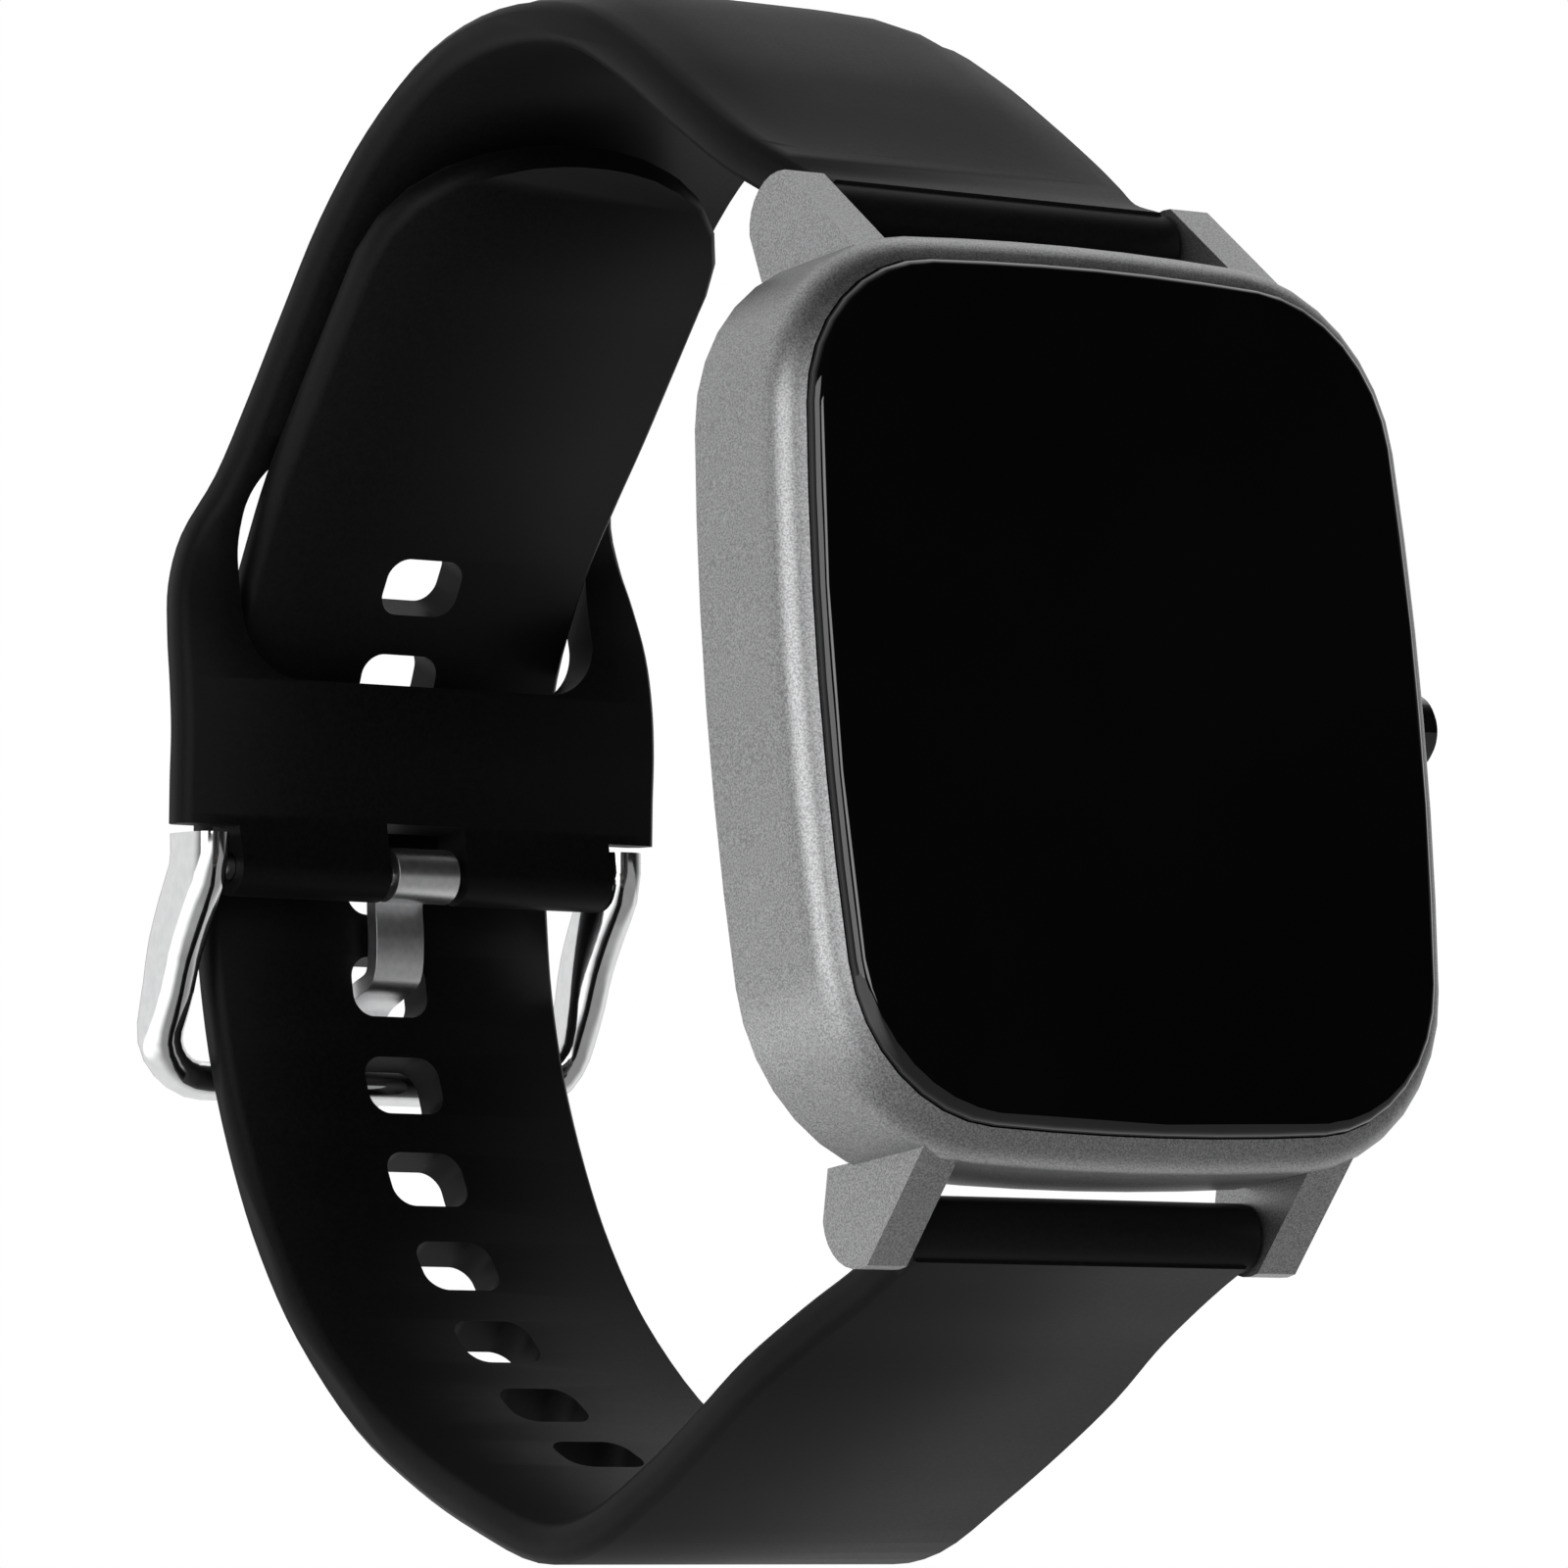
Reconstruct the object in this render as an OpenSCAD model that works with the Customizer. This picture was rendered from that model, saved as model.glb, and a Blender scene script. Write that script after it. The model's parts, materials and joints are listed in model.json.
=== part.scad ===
// Square smartwatch on a pin-and-tuck silicone strap, fastened as a loop.
// +X is the button side, +Y runs from the case into the wrist, +Z is twelve o'clock.
// The origin is the centre of the sensor window, which rests on the wrist.
// Depths are distances forward of the origin, towards the display, so depth d is at Y = -d.

/* [Case] */
// Width of the case at mid height
case_w = 36.9; // [34:0.1:46]
// Height of the case without its lugs
case_h = 42.5; // [40:0.1:54]
// Radius of the slight outward bow of the four sides
side_bow_r = 160; // [120:1:400]
// Radius of the case's corners
corner_r = 9.1; // [7:0.1:11]
// Depth of the rear edge of the metal side
rear_d = 2.6; // [2.4:0.1:4]
// Length of the flat metal side, front to back
side_len = 5.0; // [4.8:0.1:8]
// How far the rounded bezel steps in from the side
bezel_in = 1.37; // [1:0.01:1.7]
// How far the rounded bezel runs forward
bezel_fwd = 1.75; // [1.72:0.01:2.4]
// Metal wall from the outside of the case to its hollow
case_wall = 2.95; // [2.6:0.05:3.2]

/* [Lugs] */
// Gap between each pair of lugs, the standard strap width
lug_gap = 20; // [18:0.5:24]
// Width of each lug
lug_w = 2.2; // [2:0.1:3]
// Radius of the lug's round tip
lug_tip_r = 2.45; // [2.3:0.05:2.9]
// Depth of the spring bar's axis
bar_d = 2.4; // [2.2:0.05:2.8]
// Distance of the spring bar's axis beyond the end of the case
bar_out = 1.9; // [1.8:0.05:3]

/* [Front] */
// Thickness of the cover glass at its middle
glass_t = 1.85; // [1.6:0.05:2.6]
// Radius of the glass's rounded front edge
glass_edge_r = 0.6; // [0.3:0.05:0.8]
// Thickness of the adhesive frame under the glass
glue_t = 0.2; // [0.1:0.05:0.3]
// Thickness of the display panel
display_t = 1.1; // [0.8:0.1:1.4]

/* [Rear] */
// Thickness of the rear cover's wall
cover_t = 1.2; // [1:0.1:1.4]
// Radius of the sensor window
window_r = 8; // [6:0.1:9]
// Radius of a charging contact
contact_r = 1; // [0.8:0.1:1.2]
// Distance between the charging contacts
contact_pitch = 4.5; // [4:0.1:6]
// Radius of a rear cover screw's shank
screw_r = 0.45; // [0.4:0.05:0.6]

/* [Side button] */
// Radius of the button's cap
button_r = 1.8; // [1.5:0.05:2.2]
// How far the cap stands out of the case
button_proud = 1.75; // [1:0.05:2.5]
// Travel of the button
button_travel = 0.4; // [0.2:0.05:0.45]
// Height of the button's axis above the middle of the case
button_z = 0.2; // [-4:0.1:4]
// Radius of the button's stem
stem_r = 0.8; // [0.7:0.05:1]

/* [Strap] */
// Width of the long strap where it passes the buckle
strap_w = 20; // [18:0.1:22]
// Thickness of both straps
strap_t = 2.0; // [1.6:0.1:2.2]
// How much wider each side of a strap is just beyond the lugs
strap_flare = 1.1; // [0.6:0.1:1.6]
// How much thicker the short strap is along its middle than at its edges
strap_crown = 1.0; // [0:0.1:1.4]
// Width of each side wall beside the short strap's slot
slot_wall = 3.65; // [2.2:0.05:4]
// Side clearance of the long strap in the slot
slot_clear = 0.4; // [0.3:0.1:2]
// Height of the slot's lower edge
slot_low = 11.2; // [10.8:0.1:12]
// Height of the slot's upper edge
slot_high = 22.2; // [22:0.1:24]
// Distance between neighbouring strap holes
hole_pitch = 5.25; // [4.6:0.05:5.6]
// Width of a strap hole
hole_w = 4.4; // [4.2:0.1:6]
// Length of a strap hole along the strap
hole_l = 3.0; // [2.9:0.1:3.4]

/* [Buckle] */
// Radius of the buckle's pin
pin_r = 0.7; // [0.6:0.05:0.8]
// Width of each buckle leg, side to side
leg_w = 2.0; // [1.4:0.1:2.4]
// Thickness of the buckle frame
ring_t = 1.8; // [1.4:0.1:2]
// Width of the tongue's loop
tongue_w = 3.6; // [3:0.1:4]
// Width of the tongue beyond its loop
shank_w = 2.8; // [2.4:0.1:3.4]
// Thickness of the tongue's plate
tongue_t = 0.8; // [0.6:0.05:0.9]

/* [Fits] */
// Radial clearance of a turning or sliding fit
run = 0.05; // [0.03:0.01:0.08]
// Clearance between pieces that are only laid together
gap = 0.1; // [0.05:0.01:0.2]
// Side clearance between strap and lug, and between strap and buckle leg
side_gap = 0.2; // [0.1:0.05:0.4]

/* [Hidden] */
$fn = 48;
eps = 0.01;

// ---- Depths of the layers, from the wrist forward ----
shoulder_d = rear_d + side_len;
lip_d = shoulder_d + bezel_fwd;
glass_front_d = lip_d + 0.7;
glass_back_d = glass_front_d - glass_t;
seat_d = glass_back_d - glue_t;
cover_back_d = 0.3;
cover_in_d = cover_back_d + cover_t;
window_flange_t = 0.4;
flange_d = cover_in_d + window_flange_t;
chip_t = 0.6;
sensor_board_d = flange_d + gap + chip_t;
sensor_board_t = 0.5;
battery_d = sensor_board_d + sensor_board_t + 0.2;
display_back_d = glass_back_d - display_t;
flex_t = 0.12;
board_t = 0.6;
board_d = display_back_d - 0.4 - board_t;
frame_d = rear_d + 1.0;

// ---- Outlines, seen from the front ----
// A box with four bowed sides and round corners: each side is an arc of side_r, each corner one of r
function bowed(w, h, side_r, r, ns = 3, nc = 8) =
  let (a = w / 2 - side_r, b = h / 2 - side_r, half = norm([a, b]) / 2,
       s = sqrt(pow(side_r - r, 2) - half * half),
       cx = a / 2 - b / (2 * half) * s, cz = b / 2 - a / (2 * half) * s,
       t0 = atan2(cz, cx - a), t1 = atan2(cz - b, cx),
       q = concat(
         [for (i = [0:ns - 1]) let (t = t0 * i / ns) [a + side_r * cos(t), side_r * sin(t)]],
         [for (i = [0:nc - 1]) let (t = t0 + (t1 - t0) * i / nc) [cx + r * cos(t), cz + r * sin(t)]],
         [for (i = [0:ns]) let (t = t1 + (90 - t1) * i / ns) [side_r * cos(t), b + side_r * sin(t)]]),
       n = len(q))
  concat(q,
    [for (i = [n - 2:-1:0]) [-q[i][0], q[i][1]]],
    [for (i = [1:n - 1]) [-q[i][0], -q[i][1]]],
    [for (i = [n - 2:-1:1]) [q[i][0], -q[i][1]]]);

// The case's outline, moved in by a distance
function case_outline(inset) =
  bowed(case_w - 2 * inset, case_h - 2 * inset, side_bow_r - inset, max(corner_r - inset, 1));
hollow_inset = case_wall;
glass_inset = bezel_in + run;

// A plate between two depths, its outline drawn in X and Z
module plate(d0, d1) {
  translate([0, -d0, 0]) rotate([90, 0, 0]) linear_extrude(d1 - d0) children();
}
// A ring-shaped plate between two insets of the case's outline
module band(d0, d1, outer, inner) {
  plate(d0, d1) difference() {
    polygon(case_outline(outer));
    polygon(case_outline(inner));
  }
}
// A cylinder along Y between two depths
module post(r, d0, d1, x = 0, z = 0) {
  translate([x, -d0, z]) rotate([90, 0, 0]) cylinder(h = d1 - d0, r = r);
}
// A cylinder along X
module rod(r, x0, x1, y = 0, z = 0) {
  translate([x0, y, z]) rotate([0, 90, 0]) cylinder(h = x1 - x0, r = r);
}
// A side profile, drawn in Y and Z, run from x0 to x1
module across(x0, x1) {
  translate([x0, 0, 0]) rotate([90, 0, 90]) linear_extrude(x1 - x0) children();
}
// A block given by its lowest and highest X, depth and Z
module block(x0, x1, d0, d1, z0, z1) {
  translate([x0, -d1, z0]) cube([x1 - x0, d1 - d0, z1 - z0]);
}
// A smooth shell through [depth, inset] slices of the case's outline
module shell(slices) {
  hull() for (s = slices) plate(s[0] - eps, s[0]) polygon(case_outline(s[1]));
}

// ---- Case ----
bar_y = -bar_d;
bar_z = case_h / 2 + bar_out;
bezel_r = (pow(bezel_in, 2) + pow(bezel_fwd, 2)) / (2 * bezel_in);
bezel_turn = asin(bezel_fwd / bezel_r);
bezel_steps = 6;
edge_break = 0.25;
lug_centre = [2.75, bar_z - 0.65];
lug_reach_d = shoulder_d + 0.6;
lug_root_z = case_h / 2 - 1.1;
bar_hole_l = 1.5;
boss_x = case_w / 2 - 6.95;
boss_z = case_h / 2 - 6.25;
boss_r = 1.5;
button_d = rear_d + 3.0;
side_x = case_w / 2;
hollow_x = side_x - hollow_inset;
cap_recess = 0.9 + button_travel;
cap_gap = 0.15;
gasket_groove = 0.5;
gasket_ledge = 0.8;
seal_minor = 0.25;
seal_major = stem_r + seal_minor + 0.035;
seal_room = 0.8;

// The lug's side profile in depth and Z: root, sloped front and round tip
function lug_profile() = concat(
  [[rear_d, lug_root_z - 2], [lug_reach_d, lug_root_z - 2], [lug_reach_d, lug_root_z]],
  [for (i = [0:8]) let (a = 77 + (180 - 77) * i / 8)
    [lug_centre[0] + lug_tip_r * cos(a), lug_centre[1] + lug_tip_r * sin(a)]],
  [[0.95, lug_root_z + gap / 2], [rear_d, lug_root_z + gap / 2]]);

module lug(x0, side) {
  difference() {
    mirror([0, 0, side > 0 ? 0 : 1]) across(x0, x0 + lug_w)
      polygon([for (p = lug_profile()) [-p[0], p[1]]]);
    rod(pin_hole_r, x0 > 0 ? x0 - 1 : x0 + lug_w - bar_hole_l,
      x0 > 0 ? x0 + bar_hole_l : x0 + lug_w + 1, bar_y, side * bar_z);
  }
}

module case_frame() {
  color([0.62, 0.62, 0.63]) difference() {
    union() {
      shell(concat([[rear_d + eps, edge_break], [rear_d + edge_break, 0], [shoulder_d, 0]],
        [for (i = [1:bezel_steps]) let (a = bezel_turn * i / bezel_steps)
          [shoulder_d + bezel_r * sin(a), bezel_r * (1 - cos(a))]]));
      for (x0 = [-lug_gap / 2 - lug_w, lug_gap / 2]) for (side = [-1, 1]) lug(x0, side);
    }
    plate(rear_d - 1, lip_d + 1) polygon(case_outline(hollow_inset));
    plate(seat_d, lip_d + 1) polygon(case_outline(bezel_in));
    plate(rear_d - 1, rear_d + gasket_groove) polygon(case_outline(hollow_inset - gasket_ledge));
    rod(stem_r + run, hollow_x - 1, side_x + 1, -button_d, button_z);
    rod(button_r + cap_gap, side_x - cap_recess, side_x + 1, -button_d, button_z);
    rod(seal_major + seal_minor + 0.02, hollow_x - 1, hollow_x + seal_room, -button_d, button_z);
  }
}

// ---- Front ----
glass_edge_steps = 4;
module cover_glass() {
  color([0.02, 0.02, 0.02]) hull() {
    plate(glass_back_d, glass_front_d - glass_edge_r) polygon(case_outline(glass_inset));
    for (i = [1:glass_edge_steps]) {
      a = 90 * i / glass_edge_steps;
      d = glass_front_d - glass_edge_r * (1 - sin(a));
      plate(d - eps, d) polygon(case_outline(glass_inset + glass_edge_r * (1 - cos(a))));
    }
  }
}
module glass_adhesive() {
  color([0.1, 0.1, 0.1]) band(seat_d, glass_back_d, glass_inset + 0.1, hollow_inset + 0.1);
}
module display_panel() {
  color([0.05, 0.05, 0.08]) plate(display_back_d, glass_back_d) polygon(case_outline(hollow_inset + 0.6));
}
flex_half = 4;
flex_end_z = -(case_h / 2 - hollow_inset - 1.2);
module display_flex() {
  color([0.8, 0.5, 0.15]) union() {
    block(-flex_half, flex_half, display_back_d - flex_t, display_back_d, flex_end_z, flex_end_z + 5);
    block(-flex_half, flex_half, board_d + board_t, display_back_d, flex_end_z - flex_t, flex_end_z);
    block(-flex_half, flex_half, board_d + board_t, board_d + board_t + flex_t, flex_end_z - flex_t,
      flex_end_z + 2);
  }
}

// ---- Rear ----
spigot_wall = 1;
spigot_len = 0.8;
contact_z = -case_h / 2 + 8.2;
screw_head_r = 1.05;
screw_head_t = 0.5;
module screw_places() {
  for (x = [-boss_x, boss_x]) for (z = [-boss_z, boss_z]) translate([x, 0, z]) children();
}
module rear_cover() {
  color([0.12, 0.12, 0.13]) difference() {
    union() {
      difference() {
        shell([[cover_back_d + eps, 2.7], [cover_back_d + 0.3, 2.1], [cover_back_d + 0.9, 1.55], [rear_d, 1.2]]);
        plate(cover_in_d, rear_d + 1) polygon(case_outline(hollow_inset + gap + spigot_wall));
      }
      band(rear_d - 0.5, rear_d + spigot_len, hollow_inset + gap, hollow_inset + gap + spigot_wall);
      screw_places() post(boss_r, cover_in_d - eps, frame_d);
    }
    screw_places() {
      post(screw_r + run, -1, frame_d + 1);
      post(screw_head_r + run, -1, cover_back_d + screw_head_t + 0.1);
    }
    post(window_r + run, -1, rear_d + 1);
    for (s = [-1, 1]) post(contact_r + 0.02, -1, rear_d + 1, s * contact_pitch / 2, contact_z);
  }
}
module rear_gasket() {
  color([0.2, 0.2, 0.2]) band(rear_d + 0.02, rear_d + gasket_groove - 0.02, hollow_inset - gasket_ledge + 0.05, hollow_inset + 0.05);
}
module rear_cover_screws() {
  color([0.5, 0.5, 0.52]) screw_places() difference() {
    union() {
      post(screw_head_r, cover_back_d + 0.1, cover_back_d + 0.1 + screw_head_t);
      post(screw_r, cover_back_d + 0.2, frame_d + 1.6);
    }
    plate(cover_back_d - 1, cover_back_d + 0.35)
      for (t = [0, 90]) rotate(t) square([1.3, 0.28], center = true);
  }
}
module sensor_window() {
  color([0.03, 0.03, 0.04]) union() {
    post(window_r, 0, cover_in_d + eps);
    post(window_r + 0.8, cover_in_d, flange_d);
  }
}
module charging_contacts() {
  color([0.85, 0.68, 0.3]) for (s = [-1, 1]) union() {
    post(contact_r, cover_back_d - 0.05, cover_in_d + 0.5, s * contact_pitch / 2, contact_z);
    post(contact_r + 0.4, cover_in_d, cover_in_d + 0.3, s * contact_pitch / 2, contact_z);
  }
}
module sensor_board() {
  color([0.05, 0.3, 0.12]) post(window_r - 0.5, sensor_board_d, sensor_board_d + sensor_board_t);
}
module sensor_chips() {
  color([0.9, 0.9, 0.6]) union() {
    for (x = [-3.2, 3.2]) block(x - 0.9, x + 0.9, sensor_board_d - chip_t, sensor_board_d, -0.8, 0.8);
    block(-1.2, 1.2, sensor_board_d - chip_t, sensor_board_d, -1.2, 1.2);
  }
}

// ---- Inside the case ----
frame_gap = 0.15;
frame_wall = 1.05;
bay_rib_z = -case_h / 2 + 12.4;
battery_half = case_w / 2 - 9.05;
battery_top = case_h / 2 - 4.8;
module inner_frame() {
  color([0.25, 0.25, 0.27]) difference() {
    union() {
      band(frame_d, board_d, hollow_inset + frame_gap, hollow_inset + frame_gap + frame_wall);
      intersection() {
        plate(frame_d, board_d) polygon(case_outline(hollow_inset + frame_gap + 0.4));
        union() {
          block(-side_x, side_x, frame_d, board_d, bay_rib_z - 0.4, bay_rib_z + 0.4);
          screw_places() post(boss_r, frame_d, board_d);
        }
      }
    }
    screw_places() post(screw_r, frame_d - 1, frame_d + 1.8);
    block(battery_half + 2.4, side_x, frame_d - 1, board_d + 1, button_z - 2.3, button_z + 2.3);
  }
}
module battery() {
  color([0.75, 0.75, 0.72]) block(-battery_half, battery_half, battery_d, board_d - 0.1,
    bay_rib_z + 0.6, battery_top);
}
board_half = battery_half + 2.8;
module main_board() {
  color([0.05, 0.3, 0.12]) block(-board_half, board_half, board_d, board_d + board_t,
    flex_end_z + 0.3, case_h / 2 - hollow_inset - 2);
}
bay_z = bay_rib_z - 3.9;
module board_chips() {
  color([0.08, 0.08, 0.08]) union() {
    block(-7.8, -3.4, board_d - 0.9, board_d, bay_z - 2.2, bay_z + 2.2);
    block(-0.2, 2.4, board_d - 0.7, board_d, bay_z - 1.5, bay_z + 1.5);
  }
}
module board_shield() {
  color([0.7, 0.7, 0.7]) difference() {
    block(-8.6, -0.9, board_d - 1.4, board_d, bay_z - 2.9, bay_z + 2.9);
    block(-8.45, -1.05, board_d - 1.25, board_d + 1, bay_z - 2.75, bay_z + 2.75);
  }
}
motor_r = 2.9;
module vibration_motor() {
  color([0.7, 0.7, 0.72]) post(motor_r, frame_d + 0.2, board_d, 6.1, bay_z + 0.2);
}
module antenna_strip() {
  color([0.8, 0.6, 0.2]) block(-9, 9, frame_d + 0.2, board_d - 0.3, battery_top + 0.1, battery_top + 0.25);
}

// ---- Side button ----
clip_t = 0.35;
clip_x = hollow_x - 0.1 - clip_t;
stem_end_x = clip_x - 0.35;
switch_x = stem_end_x - 0.5;
switch_l = 0.9;
plunger_r = 0.4;
plunger_in = 0.7;
module side_button() {
  color([0.04, 0.04, 0.04]) difference() {
    union() {
      rod(button_r, side_x - cap_recess + button_travel + 0.1, side_x + button_proud - 0.25, -button_d, button_z);
      rod(button_r - 0.25, side_x, side_x + button_proud, -button_d, button_z);
      rod(stem_r, stem_end_x, side_x, -button_d, button_z);
    }
    difference() {
      rod(stem_r + 1, clip_x - run, clip_x + clip_t + run, -button_d, button_z);
      rod(stem_r - 0.25, clip_x - 1, clip_x + 1, -button_d, button_z);
    }
  }
}
module button_clip() {
  color([0.6, 0.6, 0.6]) difference() {
    rod(stem_r + 0.55, clip_x, clip_x + clip_t, -button_d, button_z);
    rod(stem_r - 0.22, clip_x - 1, clip_x + 1, -button_d, button_z);
    translate([clip_x - 1, -button_d - 0.3, button_z]) cube([2, 0.6, 3]);
  }
}
module switch_plunger() {
  color([0.9, 0.9, 0.85]) rod(plunger_r, switch_x - plunger_in + button_travel + 0.1, stem_end_x,
    -button_d, button_z);
}
module button_switch() {
  color([0.2, 0.2, 0.2]) difference() {
    block(switch_x - switch_l, switch_x, button_d - 1, button_d + 0.35, button_z - 1.4, button_z + 1.4);
    rod(plunger_r + run, switch_x - plunger_in, switch_x + 1, -button_d, button_z);
  }
}
module switch_board() {
  color([0.05, 0.3, 0.12]) block(switch_x - switch_l - 0.4, switch_x - switch_l, frame_d + 0.3, board_d - 0.1,
    button_z - 2, button_z + 2);
}
module button_seal() {
  color([0.1, 0.1, 0.1]) translate([hollow_x + seal_minor + 0.25, -button_d, button_z]) rotate([0, 90, 0])
    rotate_extrude() translate([seal_major, 0]) circle(r = seal_minor, $fn = 24);
}

// ---- Spring bars ----
tube_r = 0.75;
tube_wall = 0.25;
tip_r = 0.5;
pin_hole_r = tip_r + run;
tip_reach = 1.2;
flange_r = 0.7;
flange_t = 0.35;
tip_travel = tip_reach;
tip_x = lug_gap / 2 + tip_reach;
flange_x = lug_gap / 2 - 1;
tube_half = flange_x - tip_travel - 0.1;
plunge_x = tube_half - 1.7;
module bar_tube(side) {
  color([0.7, 0.7, 0.72]) difference() {
    rod(tube_r, -tube_half, tube_half, bar_y, side * bar_z);
    rod(tube_r - tube_wall, -tube_half - 1, tube_half + 1, bar_y, side * bar_z);
  }
}
module bar_tip(side, end) {
  color([0.75, 0.75, 0.77]) mirror([end > 0 ? 0 : 1, 0, 0]) union() {
    rod(tube_r - tube_wall - run, plunge_x, flange_x + eps, bar_y, side * bar_z);
    rod(flange_r, flange_x, flange_x + flange_t, bar_y, side * bar_z);
    rod(tip_r, flange_x + flange_t - eps, tip_x, bar_y, side * bar_z);
  }
}
// A coil spring as a hexagonal wire swept along a helix
spring_turns = 9;
spring_steps = 12;
wire_r = 0.07;
coil_r = tube_r - tube_wall - run - wire_r;
module bar_spring(side) {
  n = spring_turns * spring_steps;
  length = 2 * (plunge_x - 0.02 - wire_r);
  rings = [for (i = [0:n]) let (a = 360 * i / spring_steps, x = -length / 2 + length * i / n)
    [for (k = [0:5]) let (b = 60 * k, r = coil_r + wire_r * cos(b))
      [x - wire_r * sin(b), bar_y + r * cos(a), side * bar_z + r * sin(a)]]];
  color([0.6, 0.6, 0.62]) skin(rings);
}

// ---- Swept solids ----
// A closed solid through rings of points, each ring in the same order
module skin(rings) {
  n = len(rings);
  m = len(rings[0]);
  polyhedron(
    points = [for (r = rings) for (p = r) p],
    faces = concat(
      [[for (k = [0:m - 1]) k]],
      [[for (k = [m - 1:-1:0]) (n - 1) * m + k]],
      [for (i = [0:n - 2]) for (k = [0:m - 1]) let (j = (k + 1) % m)
        [i * m + j, i * m + k, (i + 1) * m + k]],
      [for (i = [0:n - 2]) for (k = [0:m - 1]) let (j = (k + 1) % m)
        [i * m + j, (i + 1) * m + k, (i + 1) * m + j]]),
    convexity = 8);
}
// A smooth curve through chosen points, with steps to each stretch
function curve(p, steps) =
  let (n = len(p), q = concat([2 * p[0] - p[1]], p, [2 * p[n - 1] - p[n - 2]]))
  concat([for (i = [1:n - 1]) for (k = [0:steps - 1]) let (t = k / steps)
    0.5 * (2 * q[i] + (q[i + 1] - q[i - 1]) * t
      + (2 * q[i - 1] - 5 * q[i] + 4 * q[i + 1] - q[i + 2]) * t * t
      + (3 * q[i] - q[i - 1] - 3 * q[i + 1] + q[i + 2]) * t * t * t)], [p[n - 1]]);
function heading(c, i) =
  let (a = c[max(i - 1, 0)], b = c[min(i + 1, len(c) - 1)], d = [b[0] - a[0], b[1] - a[1]]) d / norm(d);
// Length of a curve up to its point i
function run_to(c) = [for (i = 0, s = 0; i < len(c); i = i + 1,
  s = i < len(c) ? s + norm([c[i][0] - c[i - 1][0], c[i][1] - c[i - 1][1]]) : s) s];
// The place and heading at length s along a curve: [y, z, dy, dz]
function along(c, lengths, s) =
  let (i = max([for (k = [0:len(c) - 2]) lengths[k] <= s ? k : 0]),
       t = (s - lengths[i]) / (lengths[i + 1] - lengths[i]),
       p = c[i] + t * (c[i + 1] - c[i]), d = heading(c, i) + t * (heading(c, i + 1) - heading(c, i)))
  [p[0], p[1], d[0] / norm(d), d[1] / norm(d)];

// ---- Straps ----
// Routes are [Y, Z, half width] of the strap's middle surface, written for bars at route_bar and
// for straps route_t thick. Near the case they move with the bars, by less the nearer the buckle.
route_bar = [-2.4, 23.15];
route_t = 2.0;
route_reach = 42;
function pulled(p) =
  let (e = max(0, min(1, 1 - p[0] / route_reach)))
  [p[0] + (bar_y - route_bar[0]) * e, p[1] + sign(p[1]) * (bar_z - route_bar[1]) * e, p[2]];
neck = lug_gap / 2 - side_gap;
body = strap_w / 2 + strap_flare;
plain = strap_w / 2 + 0.15;
shoulder = strap_w / 2 + slot_clear + slot_wall;
short_route = [for (p = [
  [-2.9, 23.75, neck], [-1.05, 24.6, neck], [0.9, 26.0, neck + 0.6], [3.2, 27.75, body - 0.15],
  [6.5, 30.5, body + 0.05], [10.2, 33.55, body], [14.4, 36.2, body], [20.05, 37.4, body],
  [25.75, 36.9, body - 0.1], [30.9, 34.7, body - 0.2], [35.35, 31.45, body - 0.2], [39.3, 27.6, body - 0.25],
  [42.3, 24.2, body - 0.1], [44.8, 20.9, body + 0.4], [46.2, 18.3, shoulder - 1.3], [46.4, 16.0, shoulder - 0.5],
  [46.15, 13.5, shoulder - 0.1], [46.05, 11, shoulder], [46.2, 8.6, shoulder], [46.6, 6.2, shoulder],
  [46.9, 4.1, shoulder]]) pulled(p)];
// The stretch inside the short strap moves inwards as the straps get thicker
function inwards(p) = [p[0] - 0.7 * (strap_t - route_t), p[1] - 0.7 * (strap_t - route_t), p[2]];
long_route = concat(
  [for (p = [
    [-2.9, -23.75, neck], [-1.05, -24.4, neck], [1.4, -25.35, neck + 0.05], [4.5, -26.5, body - 0.9],
    [8.5, -28.25, body - 0.4], [12.6, -30.1, body - 0.5], [17, -31.9, body - 0.7], [22, -33.55, body - 0.7],
    [26.4, -33.45, body - 0.8], [31.1, -31.4, plain + 0.2], [35.8, -28.9, plain], [40.5, -25.5, plain],
    [44.6, -21.0, plain], [47.3, -16.6, plain], [49.1, -12.2, plain], [50.4, -7.4, plain],
    [50.95, -3, plain], [50.95, 0.5, plain], [50.7, 4.2, plain], [50.0, 8.5, plain]]) pulled(p)],
  [for (p = [
    [48.1, 12.9, plain - 0.3], [45.2, 17.3, plain - 0.3], [42.6, 20.4, plain - 0.1], [39.6, 23.4, plain],
    [36.5, 26.4, plain], [33.2, 29.5, plain], [30.3, 31.85, plain], [27.3, 33.8, plain]]) inwards(p)]);
// Length of the long strap's rounded end, and how much thinner it is at its tip
tail_round = 7.4;
tail_thin = 0.5;
// How far the tail leans to the side, over its last stretch
tail_lean = 0.5;
tail_lean_l = 18;
edge_cut = 0.45;
knuckle_r = 1.6;
strap_bore_r = tube_r + run;

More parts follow.
